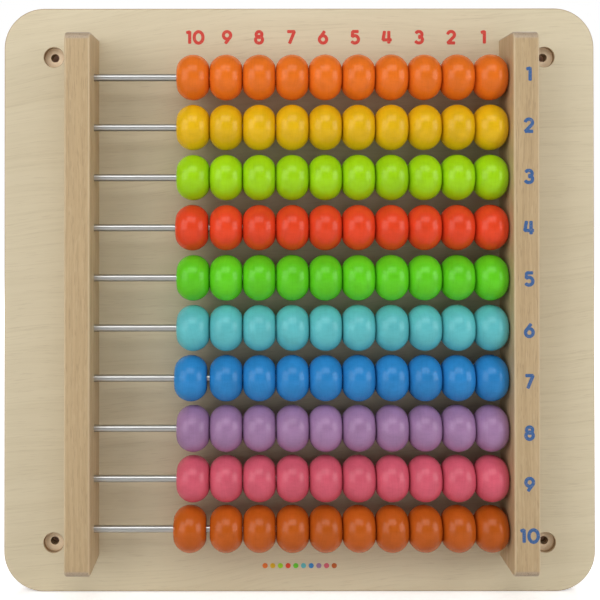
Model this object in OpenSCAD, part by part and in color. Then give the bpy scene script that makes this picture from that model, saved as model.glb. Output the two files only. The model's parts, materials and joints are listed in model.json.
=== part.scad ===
// Wall abacus: a plywood panel with two upright rails, ten rods and ten beads on each rod.
// X runs to the right as seen from the front, +Z is up and the front faces -Y.
// The origin is the middle of the panel's back face, which lies against the wall.

/* [Panel] */
// Width of the panel
panel_w = 385; // [370:1:440]
// Height of the panel
panel_h = 380; // [360:1:440]
// Thickness of the plywood
panel_t = 12; // [9:0.5:18]
// Radius of the panel's four corners
panel_corner_r = 26; // [6:1:40]
// Radius that the panel's edges are rounded to
panel_edge_r = 1.5; // [0.5:0.25:3]

/* [Wall screw holes] */
// Distance between the left and right holes
wall_hole_span_x = 320; // [314:1:340]
// Distance between the upper and lower holes
wall_hole_span_z = 316; // [200:1:330]
// Diameter of each hole
wall_hole_d = 5.5; // [4:0.5:6.5]
// Diameter of the counterbore for the screw head
counterbore_d = 13; // [10:0.5:14]
// Depth of the counterbore
counterbore_depth = 4; // [2:0.5:6]

/* [Rails] */
// Width of each rail, side to side
rail_w = 16; // [13:0.5:17]
// Distance that the rails stand out from the panel
rail_d = 36; // [34:1:44]
// Length of each rail
rail_l = 337; // [325:1:350]
// Height of the rails' middle above the panel's middle
rail_lift = 1; // [0:0.5:3]
// Clear distance between the rails
rail_gap = 261; // [258:0.5:262]
// Radius of the rails' long front edges
rail_edge_r = 1.5; // [0.5:0.25:3]
// Radius of the front corner at each end of a rail
rail_end_r = 5.5; // [3.5:0.5:10]

/* [Rods] */
// Diameter of the rods
rod_d = 4.5; // [3:0.5:4.5]
// Height from one row to the next
rod_pitch = 31.7; // [31:0.1:32.5]
// Distance from the panel's face to the rods' axes
rod_height = 18; // [16:0.5:20]
// Length of each rod end that sits in a rail
rod_grip = 10; // [6:0.5:11]

/* [Beads] */
// Largest diameter of a bead
bead_d = 29.2; // [27:0.1:30]
// Length of a bead along its rod
bead_l = 20.8; // [19:0.1:20.8]
// Diameter of the hole through a bead
bead_bore_d = 4.8; // [4.7:0.1:6]
// Radius of the bulge around a bead's middle
crown_r = 11; // [10.5:0.25:12.5]
// Radius of the shoulder that runs from the bulge to the flat end
shoulder_r = 7; // [6:0.25:7]
// Gap between neighbouring beads that are pushed together
bead_play = 0.08; // [0.04:0.02:0.1]

/* [Rail screws] */
// Diameter of the screw shank
screw_d = 4; // [3:0.5:5]
// Diameter of the countersunk head
screw_head_d = 8; // [7:0.5:9]
// Length of a screw, with its head
screw_l = 38; // [30:1:42]
// Distance from the middle screw to each outer one, in rows
screw_step_rows = 4; // [2:1:4]

/* [Hidden] */
ROWS = 10;
BEADS = 10;
// Room beside the leftmost bead of a row, left over where it isn't pushed right up to its neighbours
LOOSE = [0, 0, 0, 0.7, 0, 0, 1.5, 0, 0, 2];

$fn = 96;
over = 1;
hole_fit = 0.05;
bore_chamfer = 0.6;
rod_chamfer = 0.5;

panel_front_y = -panel_t;
rod_y = panel_front_y - rod_height;
rail_x = (rail_gap + rail_w) / 2;
bead_step = bead_l + bead_play;

WOOD = "burlywood";
PLY = "wheat";
STEEL = "silver";
ROW_COLOURS = ["darkorange", "gold", "yellowgreen", "orangered", "limegreen",
               "mediumturquoise", "royalblue", "mediumpurple", "palevioletred", "chocolate"];

// Height of a row, counted from 1 at the top
function row_z(row) = ((ROWS + 1) / 2 - row) * rod_pitch;
// Middle of a bead, counted from 1 at the right rail
function bead_x(row, bead) =
    rail_gap / 2 - (bead - 0.5) * bead_step - bead_play / 2 - (bead == BEADS ? LOOSE[row - 1] : 0);
// Number of beads in a row's left group. The last row's left group is its one loose bead.
function left_count(row) = row < ROWS ? row : 1;

function two_digits(n) = n < 10 ? str("0", n) : str(n);
function rod_name(row) = str("rod_", two_digits(row));
function beads_name(row, side) = str("row_", two_digits(row), "_beads_", side);

// Turns +Z of a shape to -Y, so that it points out of the panel's front
module facing_front() {
    rotate([90, 0, 0]) children();
}

module at_wall_holes() {
    for (x = [-1, 1], z = [-1, 1])
        translate([x * wall_hole_span_x / 2, 0, z * wall_hole_span_z / 2]) children();
}

module at_rail_screws(x) {
    for (step = [-1, 0, 1])
        translate([x, 0, step * screw_step_rows * rod_pitch]) children();
}

// A rectangle with two of its corners, at the far end of y, rounded
module front_rounded_rectangle(w, depth, r) {
    translate([-w / 2, 0]) square([w, depth - r]);
    translate([-w / 2 + r, 0]) square([w - 2 * r, depth]);
    for (side = [-1, 1])
        translate([side * (w / 2 - r), depth - r]) circle(r);
}

// Half of the panel's section at a corner: the thickness, with both edges rounded
module panel_corner_section() {
    reach = panel_corner_r - panel_edge_r;
    square([reach, panel_t]);
    translate([0, panel_edge_r]) square([panel_corner_r, panel_t - 2 * panel_edge_r]);
    for (y = [panel_edge_r, panel_t - panel_edge_r])
        translate([reach, y]) intersection() {
            circle(panel_edge_r);
            translate([0, -panel_edge_r]) square([panel_edge_r, 2 * panel_edge_r]);
        }
}

// A bar of the panel's thickness, with its two long sides rounded
module panel_bar(across, along) {
    half = across / 2 - panel_corner_r;
    rotate([90, 0, 90]) linear_extrude(along, center = true) {
        translate([-half, 0]) square([2 * half, panel_t]);
        for (side = [-1, 1])
            scale([side, 1]) translate([half, 0]) panel_corner_section();
    }
}

// The board, lying flat with its back on z = 0
module panel_board() {
    straight_w = panel_w - 2 * panel_corner_r;
    straight_h = panel_h - 2 * panel_corner_r;
    panel_bar(panel_h, straight_w);
    rotate([0, 0, 90]) panel_bar(panel_w, straight_h);
    for (x = [-1, 1], y = [-1, 1])
        translate([x * straight_w / 2, y * straight_h / 2, 0])
            rotate_extrude() panel_corner_section();
}

module wall_hole() {
    facing_front() {
        translate([0, 0, -over]) cylinder(h = panel_t + 2 * over, d = wall_hole_d);
        translate([0, 0, panel_t - counterbore_depth])
            cylinder(h = counterbore_depth + over, d = counterbore_d);
    }
}

// A countersunk wood screw, its head level with z = 0 and its point up
module screw_body(d, head_d, length) {
    head_h = (head_d - d) / 2;
    point_h = 2 * d;
    cylinder(h = head_h, d1 = head_d, d2 = d);
    cylinder(h = length - point_h, d = d);
    translate([0, 0, length - point_h]) cylinder(h = point_h, d1 = d, d2 = d / 8);
}

module screw_hole() {
    facing_front() {
        screw_body(screw_d + 2 * hole_fit, screw_head_d + 2 * hole_fit, screw_l + hole_fit);
        translate([0, 0, -over]) cylinder(h = over, d = screw_head_d + 2 * hole_fit);
    }
}

module rail_screw() {
    recess_w = screw_head_d / 7;
    recess_l = screw_head_d * 0.55;
    recess_h = screw_head_d * 0.22;
    facing_front() difference() {
        screw_body(screw_d, screw_head_d, screw_l);
        for (turn = [0, 90])
            rotate([0, 0, turn])
                translate([-recess_l / 2, -recess_w / 2, -over]) cube([recess_l, recess_w, recess_h + over]);
    }
}

module back_panel() {
    color(PLY) difference() {
        facing_front() panel_board();
        at_wall_holes() wall_hole();
        for (x = [-rail_x, rail_x])
            at_rail_screws(x) screw_hole();
    }
}

// A rail about its own middle, its back on y = 0
module rail_bar() {
    intersection() {
        linear_extrude(rail_l, center = true)
            scale([1, -1]) front_rounded_rectangle(rail_w, rail_d, rail_edge_r);
        rotate([90, 0, 90]) linear_extrude(rail_w + 2 * over, center = true)
            rotate(90) front_rounded_rectangle(rail_l, rail_d, rail_end_r);
    }
}

// side is -1 for the left rail and 1 for the right one
module rail(side) {
    color(WOOD) difference() {
        translate([side * rail_x, panel_front_y, rail_lift]) rail_bar();
        for (row = [1:ROWS])
            translate([side * (rail_gap / 2 - over), rod_y, row_z(row)]) rotate([0, side * 90, 0])
                cylinder(h = over + rod_grip + hole_fit, d = rod_d + 2 * hole_fit);
        at_rail_screws(side * rail_x) screw_hole();
    }
}

module left_rail() {
    rail(-1);
}

module right_rail() {
    rail(1);
}

module rail_screws() {
    color(STEEL)
        for (x = [-rail_x, rail_x])
            at_rail_screws(x) rail_screw();
}

module rod(row) {
    rod_l = rail_gap + 2 * rod_grip;
    color(STEEL) translate([-rod_l / 2, rod_y, row_z(row)]) rotate([0, 90, 0]) {
        cylinder(h = rod_chamfer, d1 = rod_d - 2 * rod_chamfer, d2 = rod_d);
        translate([0, 0, rod_chamfer]) cylinder(h = rod_l - 2 * rod_chamfer, d = rod_d);
        translate([0, 0, rod_l - rod_chamfer])
            cylinder(h = rod_chamfer, d1 = rod_d, d2 = rod_d - 2 * rod_chamfer);
    }
}

// The bead's outline from its axis outwards: x is the radius and y runs along the rod.
// The crown arc bulges round the middle, and a shoulder arc meets it smoothly at each end.
module bead_section() {
    half_l = bead_l / 2;
    bore_r = bead_bore_d / 2;
    crown_x = bead_d / 2 - crown_r;
    shoulder_y = half_l - shoulder_r;
    shoulder_x = crown_x + sqrt(pow(crown_r - shoulder_r, 2) - pow(shoulder_y, 2));
    join_angle = atan2(shoulder_y, shoulder_x - crown_x);
    reach = 3 * crown_r;
    difference() {
        union() {
            translate([0, -half_l]) square([shoulder_x, bead_l]);
            for (side = [-1, 1])
                translate([shoulder_x, side * shoulder_y]) circle(shoulder_r);
            intersection() {
                translate([crown_x, 0]) circle(crown_r);
                polygon([
                    [crown_x, 0],
                    [crown_x + reach * cos(join_angle), -reach * sin(join_angle)],
                    [crown_x + reach * cos(join_angle), reach * sin(join_angle)]
                ]);
            }
        }
        translate([-bead_d, -bead_l]) square([bead_d + bore_r, 2 * bead_l]);
        for (side = [-1, 1])
            polygon([
                [0, side * (half_l - bore_chamfer)],
                [bore_r, side * (half_l - bore_chamfer)],
                [bore_r + bore_chamfer, side * half_l],
                [bore_r + bore_chamfer, side * (half_l + over)],
                [0, side * (half_l + over)]
            ]);
    }
}

module bead() {
    rotate([0, 90, 0]) rotate_extrude() bead_section();
}

// The beads of one row from first to last, counted from the right rail
module row_beads(row, first, last) {
    color(ROW_COLOURS[row - 1])
        for (number = [first:last])
            translate([bead_x(row, number), rod_y, row_z(row)]) bead();
}

module row_beads_left(row) {
    row_beads(row, BEADS - left_count(row) + 1, BEADS);
}

module row_beads_right(row) {
    row_beads(row, 1, BEADS - left_count(row));
}

back_panel();
left_rail();
right_rail();
rail_screws();
for (row = [1:ROWS]) {
    rod(row);
    row_beads_left(row);
    row_beads_right(row);
}
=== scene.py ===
import json
import math
import random

import bmesh
import bpy
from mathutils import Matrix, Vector


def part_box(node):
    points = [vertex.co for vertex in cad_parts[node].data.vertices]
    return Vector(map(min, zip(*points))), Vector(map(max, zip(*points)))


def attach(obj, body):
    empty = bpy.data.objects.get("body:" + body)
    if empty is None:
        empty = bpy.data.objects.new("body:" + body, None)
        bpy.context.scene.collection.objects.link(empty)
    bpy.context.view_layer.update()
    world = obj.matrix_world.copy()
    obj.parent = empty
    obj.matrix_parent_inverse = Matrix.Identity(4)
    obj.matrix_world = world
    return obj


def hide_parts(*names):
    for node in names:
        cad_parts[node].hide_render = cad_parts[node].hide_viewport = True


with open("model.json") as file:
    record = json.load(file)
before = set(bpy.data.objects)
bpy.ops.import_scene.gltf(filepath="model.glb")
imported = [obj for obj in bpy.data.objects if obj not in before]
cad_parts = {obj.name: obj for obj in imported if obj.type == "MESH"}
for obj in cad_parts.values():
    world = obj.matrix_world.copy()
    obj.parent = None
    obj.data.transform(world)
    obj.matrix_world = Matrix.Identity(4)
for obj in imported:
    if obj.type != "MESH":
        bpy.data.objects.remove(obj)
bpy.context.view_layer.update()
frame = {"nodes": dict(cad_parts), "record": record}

# Lengths are in metres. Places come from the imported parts' boxes, the record and the values here.
MM = 0.001
TINY = 1e-6
ROWS = 10
BEADS = 10

# Edges sharper than this angle stay sharp. A cutter reaches this far past the face it cuts.
SHARP_ANGLE = math.radians(35)
CUT_PAST = 2 * MM

# Beads: the arcs of a bead's outline, and how much one bead differs from the next
CROWN_R = 11 * MM
SHOULDER_R = 7 * MM
BORE_R = 2.4 * MM
BORE_ROUND = 0.6 * MM
BEAD_SIDES = 64
SHORTER_BY = 0.2 * MM
THINNER_BY = 0.12 * MM
GRAIN_LEAN = 0.25
TONE_RANGE = (0.955, 1.045)

# Panel and rails
PANEL_CORNER_R = 26 * MM
PANEL_EDGE_R = 1.5 * MM
PLY_COUNT = 9
BIRCH_SLOPE = math.radians(5)
COUNTERBORE_R = 6.5 * MM
COUNTERBORE_DEPTH = 4 * MM
RAIL_EDGE_R = 1.5 * MM
RAIL_END_R = 5.5 * MM
ROD_HOLE_R = 2.3 * MM
SCREW_HEAD_R = 4 * MM
SCREW_HOLE_R = 4.05 * MM
SCREW_SHANK_R = 2.05 * MM
HOLE_RIM = 0.25 * MM

# Printed numbers and dots. INK is how far they stand out. The two digits of 10 stand off its middle.
STROKE_W = 2.1 * MM
STROKE_END = 0.45
INK = 0.06 * MM
TEN_SHIFTS_MM = (-4.4, 2.3)
COLUMN_NUMBER_GAP = 19 * MM
ROW_NUMBER_OFFSET = 1.2 * MM
ROW_NUMBER_STEP = 31.52 * MM
DOT_R = 1.7 * MM
DOT_STEP = 5 * MM
DOT_GAP = 17 * MM

# How finely round shapes are divided
CORNER_STEPS = 20
WALL_HOLE_SIDES = 64
SCREW_HOLE_SIDES = 48
ROD_HOLE_SIDES = 32
DOT_SIDES = 40
WALL_SPOT_SIDES = 48

# The stage: the floor's half width and drop, and the wall spots' distance behind the panel
FLOOR_SIZE = 6
FLOOR_DROP = 0.2 * MM
WALL_BEHIND = 0.2 * MM

# Soft boxes, tall at the sides and wide above: azimuth, elevation, distance, width, height, power
LIGHTS = {
    "soft_left": (-52, 2, 2.0, 1.5, 2.6, 30),
    "soft_right": (62, -4, 2.0, 1.25, 2.4, 28.5),
    "soft_top": (-4, 46, 1.8, 1.75, 0.95, 13.7),
    "soft_back": (170, 30, 1.8, 1.6, 1.2, 22),
}
LIGHT_TARGET = (0, -0.02, 0)
WORLD_SEEN = 1.0
WORLD_LIGHT = 0.15

# Camera: its distance from the panel and the width seen there, its place, its small turns and shifts
CAMERA_DISTANCE = 0.6311
CAMERA_WIDTH = 0.3913
CAMERA_X = -0.0271
CAMERA_Z = 0.0717
CAMERA_TURN = (0.0064, 0.0008, 0.0006)
CAMERA_SHIFT = (0.0715, -0.1945)
SENSOR_MM = 36

# Colours are linear. Beads are listed from the top row down.
BEAD_COLOURS = (
    ("orange", (0.76, 0.157, 0.008)),
    ("amber", (0.71, 0.42, 0.0015)),
    ("lime", (0.32, 0.62, 0.0015)),
    ("red", (0.74, 0.053, 0.011)),
    ("green", (0.113, 0.58, 0.009)),
    ("aqua", (0.108, 0.47, 0.505)),
    ("blue", (0.021, 0.218, 0.535)),
    ("lilac", (0.335, 0.186, 0.345)),
    ("pink", (0.63, 0.100, 0.150)),
    ("brown", (0.48, 0.093, 0.004)),
)
INK_RED = (0.62, 0.040, 0.025)
INK_BLUE = (0.030, 0.105, 0.28)
INK_WORN = (0.55, 0.40, 0.25)
BIRCH = {
    "light": (0.690, 0.600, 0.422), "dark": (0.540, 0.450, 0.292), "pore": (0.38, 0.28, 0.17),
    "long_ply": ((0.56, 0.42, 0.26), (0.44, 0.31, 0.18)),
    "end_ply": ((0.33, 0.21, 0.11), (0.20, 0.12, 0.06)),
    "glue": (0.12, 0.065, 0.03),
    "cut_face": ((0.88, 0.70, 0.49), (0.74, 0.57, 0.38)),
}
BEECH = {
    "light": (0.520, 0.375, 0.208), "dark": (0.400, 0.275, 0.138),
    "ray": (0.60, 0.46, 0.28), "fleck": (0.235, 0.150, 0.070),
    "end_grain": ((0.50, 0.385, 0.270), (0.40, 0.300, 0.200)), "vessel": (0.20, 0.14, 0.09),
    # The next colour is a painted highlight for the rounded long edges.
    "painted_edge_highlight": (0.72, 0.57, 0.36),
}
ROD_STEEL = (0.62, 0.62, 0.60)
SCREW_STEEL = (0.56, 0.56, 0.53)
FLOOR_COLOURS = ((0.93, 0.93, 0.93), (0.89, 0.89, 0.89))
WALL_COLOURS = ((0.90, 0.62, 0.50), (0.78, 0.52, 0.42))

SEED = 7
rng = random.Random(SEED)


# ---------------------------------------------------------------- node materials

class Shader:
    """A material and its node tree, with one call for each node."""

    def __init__(self, name):
        self.material = bpy.data.materials.new(name)
        self.material.use_nodes = True
        self.tree = self.material.node_tree
        self.surface = self.tree.nodes["Principled BSDF"]

    def add(self, kind, inputs=(), **settings):
        """A new node. inputs maps an input's name or number to a value or to another socket."""
        node = self.tree.nodes.new("ShaderNode" + kind)
        for key, value in settings.items():
            setattr(node, key, value)
        for key, value in dict(inputs).items():
            self.put(node.inputs[key], value)
        return node

    def put(self, socket, value):
        if isinstance(value, bpy.types.NodeSocket):
            self.tree.links.new(value, socket)
        else:
            socket.default_value = value

    def math(self, operation, a, b=0.0):
        return self.add("Math", {0: a, 1: b}, operation=operation).outputs[0]

    def place(self):
        """A point's place in metres. Every piece has its origin at the row frame's."""
        return self.add("TexCoord").outputs["Object"]

    def normal(self):
        """The X, Y and Z of the surface's normal."""
        return self.add("SeparateXYZ", {0: self.add("NewGeometry").outputs["Normal"]}).outputs

    def scaled(self, vector, scale):
        """vector times scale. For noise, scale is the number of waves in a metre along X, Y and Z."""
        return self.add("VectorMath", {0: vector, 1: scale}, operation="MULTIPLY").outputs[0]

    def noise(self, vector, scale=1.0, detail=3.0, roughness=0.5):
        inputs = {"Vector": vector, "Scale": scale, "Detail": detail, "Roughness": roughness}
        return self.add("TexNoise", inputs).outputs["Fac"]

    def spread(self, value, low, high, to_low=0.0, to_high=1.0):
        """value from low..high spread over to_low..to_high, and held there beyond."""
        inputs = {"Value": value, "From Min": low, "From Max": high,
                  "To Min": to_low, "To Max": to_high}
        return self.add("MapRange", inputs, interpolation_type="SMOOTHSTEP").outputs[0]

    def mix(self, factor, a, b):
        node = self.add("Mix", data_type="RGBA")
        self.put(node.inputs["Factor"], factor)
        self.put(node.inputs[6], a)
        self.put(node.inputs[7], b)
        return node.outputs[2]

    def colour(self, rgb):
        node = self.add("RGB")
        node.outputs[0].default_value = (*rgb, 1.0)
        return node.outputs[0]

    def blend(self, factor, pair):
        """A colour between the two of pair."""
        return self.mix(factor, self.colour(pair[0]), self.colour(pair[1]))

    def bump(self, height, distance, strength):
        inputs = {"Height": height, "Distance": distance, "Strength": strength}
        return self.add("Bump", inputs).outputs["Normal"]

    def finish(self, colour, roughness, normal=None, **others):
        """Feeds the surface and returns the material. others names more of its inputs."""
        self.put(self.surface.inputs["Base Color"], colour)
        self.put(self.surface.inputs["Roughness"], roughness)
        if normal is not None:
            self.put(self.surface.inputs["Normal"], normal)
        for name, value in others.items():
            self.put(self.surface.inputs[name.replace("_", " ")], value)
        return self.material


def birch_plywood(panel_t):
    """Birch veneer with its grain near X on both faces, and the cut plies on every edge and hole."""
    s = Shader("birch_plywood")
    place = s.place()
    slope = {"Vector": place, "Angle": BIRCH_SLOPE}
    sloped = s.add("VectorRotate", slope, rotation_type="Y_AXIS").outputs[0]
    wander = s.noise(s.scaled(sloped, (4, 20, 7)), detail=2)
    shift = s.add("CombineXYZ", {2: s.math("MULTIPLY", wander, 0.045)}).outputs[0]
    waved = s.add("VectorMath", {0: sloped, 1: shift}, operation="ADD").outputs[0]
    lines = s.noise(s.scaled(waved, (14, 40, 420)), detail=4, roughness=0.6)
    figure = s.noise(s.scaled(waved, (3, 30, 45)), detail=2)
    growth = s.noise(s.scaled(waved, (9, 60, 800)), detail=1)
    pores = s.noise(s.scaled(waved, (70, 200, 1800)), detail=2)
    cloud = s.noise(s.scaled(place, (9, 20, 9)), detail=1)

    grain = s.spread(lines, 0.36, 0.66, 0.0, 0.16)
    grain = s.math("ADD", grain, s.spread(figure, 0.38, 0.66, 0.0, 0.12))
    grain = s.math("ADD", grain, s.spread(growth, 0.58, 0.72, 0.0, 0.20))
    grain = s.math("ADD", grain, s.spread(cloud, 0.30, 0.70, 0.0, 0.14))
    face = s.blend(grain, (BIRCH["light"], BIRCH["dark"]))
    face = s.mix(s.spread(pores, 0.58, 0.72, 0.0, 0.22), face, s.colour(BIRCH["pore"]))

    depth = s.math("MULTIPLY", s.add("SeparateXYZ", {0: place}).outputs[1], -PLY_COUNT / panel_t)
    across = s.math("GREATER_THAN", s.math("MODULO", depth, 2.0), 1.0)
    glue_gap = s.math("ABSOLUTE", s.math("SUBTRACT", s.math("FRACT", depth), 0.5))
    glue = s.spread(glue_gap, 0.42, 0.49)
    fibres = s.noise(s.scaled(place, (420, 1600, 420)), detail=3)
    plies = s.mix(across, s.blend(fibres, BIRCH["long_ply"]), s.blend(fibres, BIRCH["end_ply"]))
    edge = s.mix(glue, plies, s.colour(BIRCH["glue"]))

    is_face = s.spread(s.math("ABSOLUTE", s.normal()[1]), 0.80, 0.93)
    from_core = s.math("ABSOLUTE", s.math("SUBTRACT", depth, PLY_COUNT / 2))
    is_outer = s.spread(from_core, PLY_COUNT / 2 - 0.8, PLY_COUNT / 2 - 0.6)
    colour = s.mix(is_face, edge, s.mix(is_outer, s.blend(fibres, BIRCH["cut_face"]), face))
    height = s.math("ADD", s.math("MULTIPLY", lines, 0.5), s.math("MULTIPLY", pores, -0.4))
    roughness = s.spread(lines, 0.3, 0.7, 0.46, 0.58)
    return s.finish(colour, roughness, s.bump(height, 0.05 * MM, 0.35), Specular_IOR_Level=0.35)


def beech():
    """Beech with the grain along Z: dark flecks, pale rays, painted long-edge highlights, greyer end
    grain.
    """
    s = Shader("beech")
    place = s.place()
    wander = s.noise(s.scaled(place, (8, 8, 5)), detail=2)
    shift = s.add("CombineXYZ", {0: s.math("MULTIPLY", wander, 0.012)}).outputs[0]
    waved = s.add("VectorMath", {0: place, 1: shift}, operation="ADD").outputs[0]
    streaks = s.noise(s.scaled(waved, (620, 620, 16)), detail=4, roughness=0.6)
    bands = s.noise(s.scaled(waved, (120, 120, 3.5)), detail=2)
    flecks = s.noise(s.scaled(waved, (1700, 1700, 130)), detail=2)
    rays = s.noise(s.scaled(waved, (1100, 1100, 110)), detail=1)

    grain = s.spread(streaks, 0.36, 0.66, 0.0, 0.46)
    grain = s.math("ADD", grain, s.spread(bands, 0.36, 0.64, 0.0, 0.20))
    long_grain = s.blend(grain, (BEECH["light"], BEECH["dark"]))
    long_grain = s.mix(s.spread(rays, 0.58, 0.70, 0.0, 0.30), long_grain, s.colour(BEECH["ray"]))
    long_grain = s.mix(s.spread(flecks, 0.54, 0.70, 0.0, 0.30), long_grain, s.colour(BEECH["fleck"]))

    rings = s.noise(s.scaled(place, (300, 900, 40)), detail=3)
    vessels = s.noise(s.scaled(place, (2300, 2300, 300)), detail=1)
    end_grain = s.blend(rings, BEECH["end_grain"])
    end_grain = s.mix(s.spread(vessels, 0.56, 0.68, 0.0, 0.55), end_grain, s.colour(BEECH["vessel"]))

    normal = s.normal()
    up = s.math("ABSOLUTE", normal[2])
    colour = s.mix(s.spread(up, 0.08, 0.32), long_grain, end_grain)
    # The rounded long edges are mixed towards a paler colour: a painted highlight where they catch
    # the light.
    edge = s.math("ABSOLUTE", s.math("MULTIPLY", normal[0], normal[1]))
    colour = s.mix(s.spread(edge, 0.15, 0.45, 0.0, 0.5), colour, s.colour(BEECH["painted_edge_highlight"]))
    height = s.math("SUBTRACT", s.math("MULTIPLY", streaks, 0.6), s.math("MULTIPLY", flecks, 0.4))
    roughness = s.spread(streaks, 0.3, 0.7, 0.38, 0.50)
    return s.finish(colour, roughness, s.bump(height, 0.06 * MM, 0.4), Specular_IOR_Level=0.5)


def bead_lacquer(name, rgb):
    """Coloured lacquer over turned wood. The mesh's grain attribute is a place within one bead."""
    s = Shader("bead_" + name)
    grain_place = s.add("Attribute", attribute_name="grain").outputs["Vector"]
    tone = s.add("Attribute", attribute_name="tone").outputs["Fac"]
    fibres = s.noise(s.scaled(grain_place, (150, 900, 900)), detail=3, roughness=0.6)
    turning = s.noise(s.scaled(grain_place, (1500, 60, 60)), detail=2)
    clouds = s.noise(s.scaled(grain_place, (90, 90, 90)), detail=2)

    lighter = tuple(min(1.0, 1.08 * c + 0.006) for c in rgb)
    darker = tuple(0.78 * c for c in rgb)
    depth = s.spread(fibres, 0.40, 0.72, 0.0, 0.16)
    depth = s.math("ADD", depth, s.spread(clouds, 0.35, 0.70, 0.0, 0.34))
    depth = s.math("ADD", depth, s.spread(turning, 0.46, 0.70, 0.0, 0.14))
    colour = s.blend(depth, (lighter, darker))
    colour = s.add("HueSaturation", {"Color": colour, "Value": tone}).outputs[0]
    height = s.math("ADD", s.math("MULTIPLY", turning, 0.6), s.math("MULTIPLY", fibres, 0.2))
    roughness = s.spread(clouds, 0.3, 0.7, 0.19, 0.24)
    sheen = s.blend(0.45, ((1, 1, 1), tuple(c / max(rgb) for c in rgb)))
    return s.finish(colour, roughness, s.bump(height, 0.03 * MM, 0.3), Specular_IOR_Level=0.42,
                    Specular_Tint=sheen)


def drawn_steel(name, rgb, rough_low, rough_high):
    """Bright steel with fine drawing lines along X, and painted dark reflections on its rims and
    underside.
    """
    s = Shader(name)
    place = s.place()
    lines = s.noise(s.scaled(place, (25, 6000, 6000)), detail=3)
    smears = s.noise(s.scaled(place, (60, 300, 300)), detail=2)
    colour = s.blend(smears, (rgb, tuple(0.86 * c for c in rgb)))
    # Painted dark reflections: the colour darkens at grazing angles and on faces that look down.
    slant = s.spread(s.add("LayerWeight", {"Blend": 0.5}).outputs["Facing"], 0.50, 0.90, 0.0, 0.7)
    down = s.spread(s.normal()[2], -0.55, -0.92, 0.0, 0.8)
    colour = s.mix(s.math("MAXIMUM", slant, down), colour, s.colour(tuple(0.2 * c for c in rgb)))
    uneven = s.math("ADD", s.math("MULTIPLY", lines, 0.5), s.math("MULTIPLY", smears, 0.5))
    roughness = s.spread(uneven, 0.3, 0.7, rough_low, rough_high)
    return s.finish(colour, roughness, s.bump(lines, 0.01 * MM, 0.3), Metallic=1.0)


def ink(name, rgb):
    """Screen-printed ink, a little thinner where the wood grain shows through."""
    s = Shader(name)
    thin = s.noise(s.scaled(s.place(), (900, 900, 1400)), detail=3)
    colour = s.blend(s.spread(thin, 0.52, 0.75, 0.0, 0.35), (rgb, INK_WORN))
    return s.finish(colour, s.spread(thin, 0.3, 0.7, 0.45, 0.6), s.bump(thin, 0.01 * MM, 0.4))


def floor_material():
    """Pale floor that seems to shine a little when seen, so that it fades into the background."""
    s = Shader("pale_floor")
    place = s.place()
    mottle = s.noise(place, scale=14, detail=4)
    colour = s.blend(mottle, FLOOR_COLOURS)
    far = s.add("VectorMath", {0: place}, operation="LENGTH").outputs["Value"]
    glow = s.spread(far, 0.5, 1.6, 0.5, 0.95)
    seen = s.math("MULTIPLY", s.add("LightPath").outputs["Is Camera Ray"], glow)
    return s.finish(colour, 0.8, None, Emission_Color=colour, Emission_Strength=seen)


# ---------------------------------------------------------------- mesh tools

def add_object(name, data):
    """A new object in the scene, at the row frame's origin."""
    new = bpy.data.objects.new(name, data)
    bpy.context.scene.collection.objects.link(new)
    return new


def mark_sharp(bm):
    """Smooth shading, except across edges sharper than SHARP_ANGLE."""
    for face in bm.faces:
        face.smooth = True
    for edge in bm.edges:
        edge.smooth = len(edge.link_faces) == 2 and edge.calc_face_angle() < SHARP_ANGLE


def object_from(bm, name, material=None):
    """Turns bm into an object in the row frame, and frees bm."""
    bmesh.ops.recalc_face_normals(bm, faces=bm.faces)
    mark_sharp(bm)
    mesh = bpy.data.meshes.new(name)
    bm.to_mesh(mesh)
    bm.free()
    if material:
        mesh.materials.append(material)
    return add_object(name, mesh)


def stands_for(piece, body, node):
    """Puts piece on body in place of a CAD node."""
    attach(piece, body)
    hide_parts(node)


def arc(cx, cy, rx, ry, start, end, steps):
    """Points on an ellipse's arc, from start to end in degrees."""
    angles = [math.radians(start + (end - start) * i / steps) for i in range(steps + 1)]
    return [(cx + rx * math.cos(a), cy + ry * math.sin(a)) for a in angles]


def lathe(bm, outline, centre, axis, sides, closed):
    """Turns outline, a list of (along, radius), round the axis X, Y or Z through centre.

    closed joins the outline's ends.
    """
    along_i = "XYZ".index(axis)
    u_i, v_i = (along_i + 1) % 3, (along_i + 2) % 3
    rings = []
    for along, radius in outline:
        ring = []
        for k in range(sides if radius > 0 else 1):
            turn = 2 * math.pi * k / sides
            co = Vector(centre)
            co[along_i] += along
            co[u_i] += radius * math.cos(turn)
            co[v_i] += radius * math.sin(turn)
            ring.append(bm.verts.new(co))
        rings.append(ring)
    pairs = list(zip(rings, rings[1:]))
    if closed:
        pairs.append((rings[-1], rings[0]))
    for a, b in pairs:
        for k in range(sides):
            corners = [a[k % len(a)], a[(k + 1) % len(a)], b[(k + 1) % len(b)], b[k % len(b)]]
            bm.faces.new(list(dict.fromkeys(corners)))


def combine(piece, operation, other):
    """Joins other to piece (UNION) or cuts it out of piece (DIFFERENCE), and removes other."""
    modifier = piece.modifiers.new("combine", "BOOLEAN")
    modifier.operation = operation
    modifier.solver = "EXACT"
    modifier.object = other
    bpy.context.view_layer.update()
    depsgraph = bpy.context.evaluated_depsgraph_get()
    mesh = bpy.data.meshes.new_from_object(piece.evaluated_get(depsgraph))
    piece.modifiers.clear()
    piece.data = mesh
    bpy.data.objects.remove(other)


def sharpen(piece):
    """Marks the edges of a combined mesh smooth or sharp again."""
    bm = bmesh.new()
    bm.from_mesh(piece.data)
    mark_sharp(bm)
    bm.to_mesh(piece.data)
    bm.free()


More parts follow.
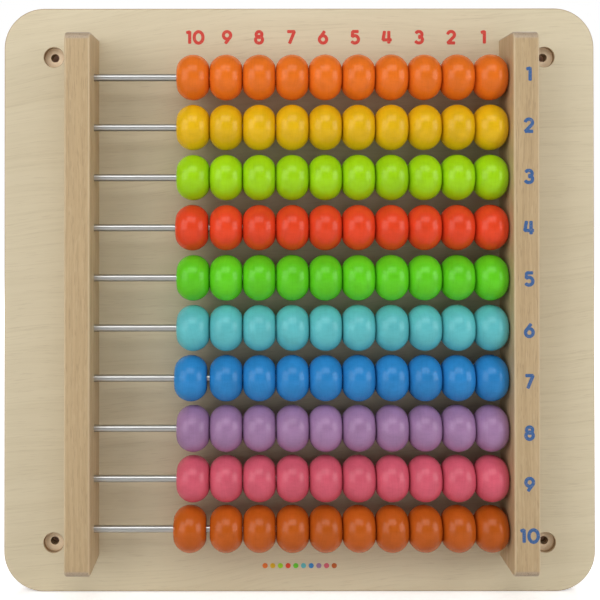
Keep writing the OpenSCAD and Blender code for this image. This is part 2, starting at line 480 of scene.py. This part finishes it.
def prism(bm, outline, low, high, to_point):
    """A solid between the levels low and high. to_point(p, level) places each point p of outline."""
    bottom = [bm.verts.new(to_point(p, low)) for p in outline]
    top = [bm.verts.new(to_point(p, high)) for p in outline]
    bm.faces.new(bottom)
    bm.faces.new(list(reversed(top)))
    for k in range(len(outline)):
        after = (k + 1) % len(outline)
        bm.faces.new([bottom[k], top[k], top[after], bottom[after]])
    bmesh.ops.recalc_face_normals(bm, faces=bm.faces)


def round_edges(bm, edges, radius, segments):
    bmesh.ops.bevel(bm, geom=edges, offset=radius, offset_type="OFFSET", segments=segments,
                    profile=0.5, affect="EDGES", clamp_overlap=True)


# ---------------------------------------------------------------- panel and rails

def wall_screws():
    """The record's sizes for the four wall screws."""
    return next(m for m in frame["record"]["mounts"] if m["name"] == "wall_screws")["dims"]


def wall_hole_places():
    """The (x, z) of each hole for a wall screw."""
    sizes = wall_screws()
    x, z = sizes["spacing_x_mm"] * MM / 2, sizes["spacing_y_mm"] * MM / 2
    return [(side * x, level * z) for side in (-1, 1) for level in (-1, 1)]


def screw_places():
    """The middle of each rail screw's head, on the panel's back face."""
    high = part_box("rail_screws")[1]
    x, z = high.x - SCREW_HEAD_R, high.z - SCREW_HEAD_R
    return [(side * x, 0.0, level * z) for side in (-1, 1) for level in (-1, 0, 1)]


def make_panel(material):
    """The board with rounded corners and edges, four counterbored holes and six countersunk ones."""
    low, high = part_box("back_panel")
    thickness = high.y - low.y
    half_w, half_h = high.x, high.z
    corner = PANEL_CORNER_R
    outline = []
    for sx, sz, start in ((1, 1, 0), (-1, 1, 90), (-1, -1, 180), (1, -1, 270)):
        x, z = sx * (half_w - corner), sz * (half_h - corner)
        outline += arc(x, z, corner, corner, start, start + 90, CORNER_STEPS)

    bm = bmesh.new()
    prism(bm, outline, low.y, high.y, lambda p, y: (p[0], y, p[1]))
    rims = [e for e in bm.edges if abs(e.verts[0].co.y - e.verts[1].co.y) < TINY]
    round_edges(bm, rims, PANEL_EDGE_R, segments=5)
    panel = object_from(bm, "panel_board", material)

    holes = bmesh.new()
    bore = wall_screws()["hole_r_mm"] * MM
    step = low.y + COUNTERBORE_DEPTH
    wall_hole = [
        (CUT_PAST, 0), (CUT_PAST, bore + CUT_PAST), (0, bore + HOLE_RIM), (-HOLE_RIM, bore),
        (step, bore), (step, COUNTERBORE_R),
        (low.y + HOLE_RIM, COUNTERBORE_R), (low.y, COUNTERBORE_R + HOLE_RIM),
        (low.y - CUT_PAST, COUNTERBORE_R + CUT_PAST), (low.y - CUT_PAST, 0),
    ]
    for x, z in wall_hole_places():
        lathe(holes, wall_hole, (x, 0, z), "Y", WALL_HOLE_SIDES, closed=False)
    sink = SCREW_HOLE_R - SCREW_SHANK_R
    through = -thickness - CUT_PAST
    screw_hole = [(CUT_PAST, 0), (CUT_PAST, SCREW_HOLE_R), (0, SCREW_HOLE_R),
                  (-sink, SCREW_SHANK_R), (through, SCREW_SHANK_R), (through, 0)]
    for centre in screw_places():
        lathe(holes, screw_hole, centre, "Y", SCREW_HOLE_SIDES, closed=False)
    combine(panel, "DIFFERENCE", object_from(holes, "cutter"))
    sharpen(panel)
    stands_for(panel, "frame", "back_panel")


def make_rail(name, node, side, material):
    """A bar with rounded front edges and ends, and a blind hole for each rod in its inner face."""
    low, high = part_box(node)
    bm = bmesh.new()
    end_r = RAIL_END_R
    outline = [(high.y, low.z)]
    outline += arc(low.y + end_r, low.z + end_r, end_r, end_r, 270, 180, 8)
    outline += arc(low.y + end_r, high.z - end_r, end_r, end_r, 180, 90, 8)
    outline += [(high.y, high.z)]
    prism(bm, outline, low.x, high.x, lambda p, x: (x, p[0], p[1]))
    rims = [e for e in bm.edges
            if abs(e.verts[0].co.x - e.verts[1].co.x) < TINY
            and min(e.verts[0].co.y, e.verts[1].co.y) < high.y - TINY]
    round_edges(bm, rims, RAIL_EDGE_R, segments=4)
    rail = object_from(bm, name, material)

    holes = bmesh.new()
    inner_x = low.x if side > 0 else high.x
    for row in range(1, ROWS + 1):
        rod_low, rod_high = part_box(f"rod_{row:02d}")
        middle = (rod_low + rod_high) / 2
        depth = abs((rod_high.x if side > 0 else rod_low.x) - inner_x)
        outline = [(-CUT_PAST, 0), (-CUT_PAST, ROD_HOLE_R + CUT_PAST), (0, ROD_HOLE_R + HOLE_RIM),
                   (HOLE_RIM, ROD_HOLE_R), (depth, ROD_HOLE_R), (depth, 0)]
        outline = [(side * along, radius) for along, radius in outline]
        mouth = (inner_x, middle.y, middle.z)
        lathe(holes, outline, mouth, "X", ROD_HOLE_SIDES, closed=False)
    combine(rail, "DIFFERENCE", object_from(holes, "cutter"))
    sharpen(rail)
    stands_for(rail, "frame", node)


# ---------------------------------------------------------------- beads

def bead_length_and_step():
    """A bead's length along its rod, and the step from one bead of a group to the next."""
    single_low, single_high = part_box("row_01_beads_left")
    length = single_high.x - single_low.x
    nine_low, nine_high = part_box("row_01_beads_right")
    return length, (nine_high.x - nine_low.x - length) / (BEADS - 2)


def bead_outline(half_l, radius):
    """One bead's section as (along, radius): rounded mouth, end, shoulder, crown and back again."""
    crown_y = radius - CROWN_R
    shoulder_x = half_l - SHOULDER_R
    shoulder_y = crown_y + math.sqrt((CROWN_R - SHOULDER_R) ** 2 - shoulder_x ** 2)
    join = math.degrees(math.atan2(shoulder_y - crown_y, shoulder_x))
    mouth = arc(half_l - BORE_ROUND, BORE_R + BORE_ROUND, BORE_ROUND, BORE_ROUND, 270, 360, 4)
    shoulder = arc(shoulder_x, shoulder_y, SHOULDER_R, SHOULDER_R, 0, join, 7)
    crown = arc(0, crown_y, CROWN_R, CROWN_R, join, 90, 8)
    right = mouth + shoulder + crown[1:]
    left = [(-along, r) for along, r in reversed(right[:-1])]
    return right + left


def make_bead(name, centre, half_l, radius, material):
    """A bead round the X axis through centre, with its own size, tone and grain."""
    shorter = rng.uniform(0, SHORTER_BY) / 2
    thinner = rng.uniform(0, THINNER_BY)
    spin = rng.uniform(0, 2 * math.pi)
    lean = rng.uniform(-GRAIN_LEAN, GRAIN_LEAN)
    offset = Vector((rng.uniform(0, 1), rng.uniform(0, 1), rng.uniform(0, 1)))
    tone = rng.uniform(*TONE_RANGE)

    bm = bmesh.new()
    outline = bead_outline(half_l - shorter, radius - thinner)
    lathe(bm, outline, centre, "X", BEAD_SIDES, closed=True)
    bead = object_from(bm, name, material)
    places = []
    for vertex in bead.data.vertices:
        local = vertex.co - Vector(centre)
        y = local.y * math.cos(spin) - local.z * math.sin(spin)
        z = local.y * math.sin(spin) + local.z * math.cos(spin)
        places += [local.x + lean * z + offset.x, y + offset.y, z + offset.z]
    tones = [tone] * len(bead.data.vertices)
    bead.data.attributes.new("grain", "FLOAT_VECTOR", "POINT").data.foreach_set("vector", places)
    bead.data.attributes.new("tone", "FLOAT", "POINT").data.foreach_set("value", tones)
    return bead


def make_beads(materials):
    """All beads, numbered in each row from the right rail, each on the body of its group."""
    length, step = bead_length_and_step()
    for row, (colour_name, _) in enumerate(BEAD_COLOURS, 1):
        rod_low, rod_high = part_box(f"rod_{row:02d}")
        axis = (rod_low + rod_high) / 2
        number = 0
        for side in ("right", "left"):
            node = f"row_{row:02d}_beads_{side}"
            low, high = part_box(node)
            radius = (high.z - low.z) / 2
            count = round((high.x - low.x) / step)
            for k in range(count):
                number += 1
                x = high.x - length / 2 - k * step
                if side == "left" and k == count - 1:
                    x = low.x + length / 2
                bead = make_bead(f"bead_row{row:02d}_{number:02d}", (x, axis.y, axis.z),
                                 length / 2, radius, materials[row - 1])
                stands_for(bead, node, node)


# ---------------------------------------------------------------- printed numbers

def oval(cx, cy, rx, ry):
    """The points of a closed stroke round an ellipse."""
    return arc(cx, cy, rx, ry, 0, 350, 35)


def digit_strokes(digit):
    """A digit's strokes as (points, closed), in millimetres about the digit's middle."""
    top = 3.75
    if digit == "0":
        return [(oval(0, 0, 2.85, top), True)]
    if digit == "1":
        return [([(0.9, top), (0.9, -top)], False), ([(0.9, 3.65), (-1.0, 3.1)], False)]
    if digit == "2":
        bow = arc(0.05, 1.60, 2.2, 2.15, 165, -38, 18)
        return [(bow + [(-2.1, -top)], False), ([(-2.1, -top), (2.3, -top)], False)]
    if digit == "3":
        return [(arc(-0.1, 1.80, 2.05, 1.95, 150, -90, 18), False),
                (arc(-0.1, -1.60, 2.35, 2.15, 90, -150, 20), False)]
    if digit == "4":
        return [([(-1.6, top), (-2.6, -1.7)], False), ([(-2.6, -1.7), (2.7, -1.7)], False),
                ([(1.2, top), (1.2, -top)], False)]
    if digit == "5":
        return [([(-1.5, top), (2.0, top)], False), ([(-1.5, top), (-1.75, 0.5)], False),
                (arc(-0.15, -1.35, 2.4, 2.4, 132, -142, 22), False)]
    if digit == "6":
        return [(oval(0, -1.35, 2.35, 2.4), True), ([(-1.95, -0.2), (0.9, top)], False)]
    if digit == "7":
        return [([(-2.1, top), (2.15, top)], False), ([(2.15, top), (-0.9, -top)], False)]
    if digit == "8":
        return [(oval(0, 1.85, 1.85, 1.9), True), (oval(0, -1.55, 2.25, 2.2), True)]
    return [([(-x, -y) for x, y in points], closed) for points, closed in digit_strokes("6")]


def stroke_solid(points, closed, face_y):
    """A printed stroke: a flat bar as wide as STROKE_W along points, on the face at face_y."""
    half = STROKE_W / 2
    count = len(points)
    path = [Vector(p) for p in points]
    left, right = [], []
    for k in range(count):
        before = path[(k - 1) % count] if closed or k > 0 else path[k]
        after = path[(k + 1) % count] if closed or k < count - 1 else path[k]
        along = (after - before).normalized()
        side = Vector((-along.y, along.x)) * half
        left.append(path[k] + side)
        right.append(path[k] - side)
    bm = bmesh.new()
    level_low, level_high = face_y + INK / 2, face_y - INK

    def corners(p):
        return bm.verts.new((p.x, level_low, p.y)), bm.verts.new((p.x, level_high, p.y))

    if closed:
        outer, inner = [corners(p) for p in left], [corners(p) for p in right]
        for k in range(count):
            n = (k + 1) % count
            bm.faces.new([outer[k][0], outer[n][0], inner[n][0], inner[k][0]])
            bm.faces.new([outer[k][1], outer[n][1], inner[n][1], inner[k][1]])
            bm.faces.new([outer[k][0], outer[n][0], outer[n][1], outer[k][1]])
            bm.faces.new([inner[k][0], inner[n][0], inner[n][1], inner[k][1]])
    else:
        rim = left + stroke_end(path[-1], path[-1] - path[-2], half)
        rim += right[::-1] + stroke_end(path[0], path[0] - path[1], half)
        prism(bm, rim, level_low, level_high, lambda p, y: (p.x, y, p.y))
    return bm


def stroke_end(tip, direction, half):
    """The rounded end of a stroke, turned clockwise from its left corner to its right one."""
    ahead = direction.normalized()
    left = Vector((-ahead.y, ahead.x))
    reach = STROKE_END * half
    return [tip + left * half * math.cos(a) + ahead * reach * math.sin(a)
            for a in (math.radians(180 * k / 8) for k in range(1, 8))]


def make_number(name, text, centre_x, centre_z, face_y, material):
    """A printed number on a face that looks along -Y."""
    shifts = (0,) if len(text) == 1 else TEN_SHIFTS_MM
    number = None
    for digit, shift in zip(text, shifts):
        for points, closed in digit_strokes(digit):
            placed = [(centre_x + (x + shift) * MM, centre_z + y * MM) for x, y in points]
            bm = stroke_solid(placed, closed, face_y)
            if number is None:
                number = object_from(bm, name, material)
            else:
                combine(number, "UNION", object_from(bm, "stroke", material))
    sharpen(number)
    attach(number, "frame")


def make_numbers():
    """Red numbers on the panel above the beads, and blue ones down the right rail's front."""
    red, blue = ink("ink_red", INK_RED), ink("ink_blue", INK_BLUE)
    panel_low, panel_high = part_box("back_panel")
    rail_low, rail_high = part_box("right_rail")
    length, step = bead_length_and_step()
    first_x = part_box("row_01_beads_right")[1].x - length / 2
    z = panel_high.z - COLUMN_NUMBER_GAP
    for number in range(1, BEADS + 1):
        x = first_x - (number - 1) * step
        make_number(f"column_number_{number:02d}", str(number), x, z, panel_low.y, red)
    top_rod_low, top_rod_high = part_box("rod_01")
    x = (rail_low.x + rail_high.x) / 2 + ROW_NUMBER_OFFSET
    for row in range(1, ROWS + 1):
        z = (top_rod_low.z + top_rod_high.z) / 2 - (row - 1) * ROW_NUMBER_STEP
        make_number(f"row_number_{row:02d}", str(row), x, z, rail_low.y, blue)


def make_dots():
    """A plain row of dots in the ten bead colours, printed below the bottom row."""
    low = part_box("back_panel")[0]
    outline = [(INK / 2, 0), (INK / 2, DOT_R), (-INK * 0.6, DOT_R), (-INK, DOT_R - INK), (-INK, 0)]
    for k, (name, rgb) in enumerate(BEAD_COLOURS):
        bm = bmesh.new()
        x = (k - (ROWS - 1) / 2) * DOT_STEP
        lathe(bm, outline, (x, low.y, low.z + DOT_GAP), "Y", DOT_SIDES, closed=False)
        dot = object_from(bm, "printed_dot_" + name, ink("ink_" + name, rgb))
        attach(dot, "frame")


# ---------------------------------------------------------------- stage, light and camera

def area_light(name, azimuth, elevation, distance, width, height, power):
    """A soft box that faces the beads. azimuth turns from straight ahead of the panel to +X."""
    turn, lift = math.radians(azimuth), math.radians(elevation)
    flat = math.cos(lift)
    away = Vector((math.sin(turn) * flat, -math.cos(turn) * flat, math.sin(lift)))
    light = bpy.data.lights.new(name, "AREA")
    light.shape = "RECTANGLE"
    light.size, light.size_y = width, height
    light.energy = power
    lamp = add_object(name, light)
    lamp.location = Vector(LIGHT_TARGET) + away * distance
    lamp.rotation_euler = away.to_track_quat("Z", "Y").to_euler()


def make_lights():
    """The soft boxes, and a white background that lights the scene only dimly."""
    for name, values in LIGHTS.items():
        area_light(name, *values)

    world = bpy.data.worlds.new("studio")
    bpy.context.scene.world = world
    world.use_nodes = True
    nodes, links = world.node_tree.nodes, world.node_tree.links
    background = nodes["Background"]
    ray = nodes.new("ShaderNodeLightPath")
    strength = nodes.new("ShaderNodeMapRange")
    strength.inputs["To Min"].default_value = WORLD_LIGHT
    strength.inputs["To Max"].default_value = WORLD_SEEN
    links.new(ray.outputs["Is Camera Ray"], strength.inputs["Value"])
    links.new(strength.outputs[0], background.inputs["Strength"])
    background.inputs["Color"].default_value = (1, 1, 1, 1)


def make_floor():
    bm = bmesh.new()
    bmesh.ops.create_grid(bm, x_segments=8, y_segments=8, size=FLOOR_SIZE)
    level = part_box("back_panel")[0].z - FLOOR_DROP
    for vertex in bm.verts:
        vertex.co.z = level
    object_from(bm, "floor", floor_material())


def wall_material():
    """Plain wall that is solid from the front and clear from behind."""
    s = Shader("wall_spot")
    s.finish(s.blend(s.noise(s.place(), scale=60, detail=3), WALL_COLOURS), 0.9)
    one_sided = s.add("MixShader", {0: s.add("NewGeometry").outputs["Backfacing"],
                                    1: s.surface.outputs[0], 2: s.add("BsdfTransparent").outputs[0]})
    s.put(s.tree.nodes["Material Output"].inputs["Surface"], one_sided.outputs[0])
    return s.material


def make_wall():
    """A spot of wall close behind each wall hole. It shows only through the hole."""
    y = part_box("back_panel")[1].y + WALL_BEHIND
    radius = wall_screws()["hole_r_mm"] * MM + HOLE_RIM
    material = wall_material()
    for number, (x, z) in enumerate(wall_hole_places(), 1):
        rim = [(u, y, v) for u, v in arc(x, z, radius, radius, 0, 360, WALL_SPOT_SIDES)[:-1]]
        mesh = bpy.data.meshes.new(f"wall_spot_{number}")
        mesh.from_pydata(rim, [], [range(WALL_SPOT_SIDES)])
        mesh.materials.append(material)
        add_object(mesh.name, mesh)


def make_camera():
    """Almost square to the panel, and a little left of and above its middle, as in the photo."""
    data = bpy.data.cameras.new("camera")
    camera = add_object("camera", data)
    camera.location = (CAMERA_X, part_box("back_panel")[0].y - CAMERA_DISTANCE, CAMERA_Z)
    turn_x, turn_y, turn_z = CAMERA_TURN
    camera.rotation_euler = (math.pi / 2 + turn_x, turn_y, turn_z)
    data.sensor_width = SENSOR_MM
    data.lens = SENSOR_MM * CAMERA_DISTANCE / CAMERA_WIDTH
    data.clip_start, data.clip_end = 0.01, 50
    for channel, value in zip(("shift_x", "shift_y"), CAMERA_SHIFT):
        shift_with_place(camera, channel, value)
    bpy.context.scene.camera = camera


def shift_with_place(camera, channel, value):
    """Shifts the lens only while the camera stands in this place, so other views stay centred."""
    driver = camera.data.driver_add(channel).driver
    driver.type = "SCRIPTED"
    variable = driver.variables.new()
    variable.name = "x"
    variable.type = "TRANSFORMS"
    variable.targets[0].id = camera
    variable.targets[0].transform_type = "LOC_X"
    driver.expression = f"{value} if abs(x - {camera.location.x:.6f}) < 0.00001 else 0.0"


# ---------------------------------------------------------------- build

panel_low, panel_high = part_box("back_panel")
make_panel(birch_plywood(panel_high.y - panel_low.y))
wood = beech()
make_rail("rail_left", "left_rail", -1, wood)
make_rail("rail_right", "right_rail", 1, wood)
make_beads([bead_lacquer(name, rgb) for name, rgb in BEAD_COLOURS])
make_numbers()
make_dots()

rod_steel = drawn_steel("rod_steel", ROD_STEEL, 0.28, 0.38)
screw_steel = drawn_steel("screw_steel", SCREW_STEEL, 0.30, 0.42)
for row in range(1, ROWS + 1):
    frame["nodes"][f"rod_{row:02d}"].data.materials[0] = rod_steel
frame["nodes"]["rail_screws"].data.materials[0] = screw_steel

make_lights()
make_floor()
make_wall()
make_camera()
bpy.context.scene.view_settings.view_transform = "Standard"
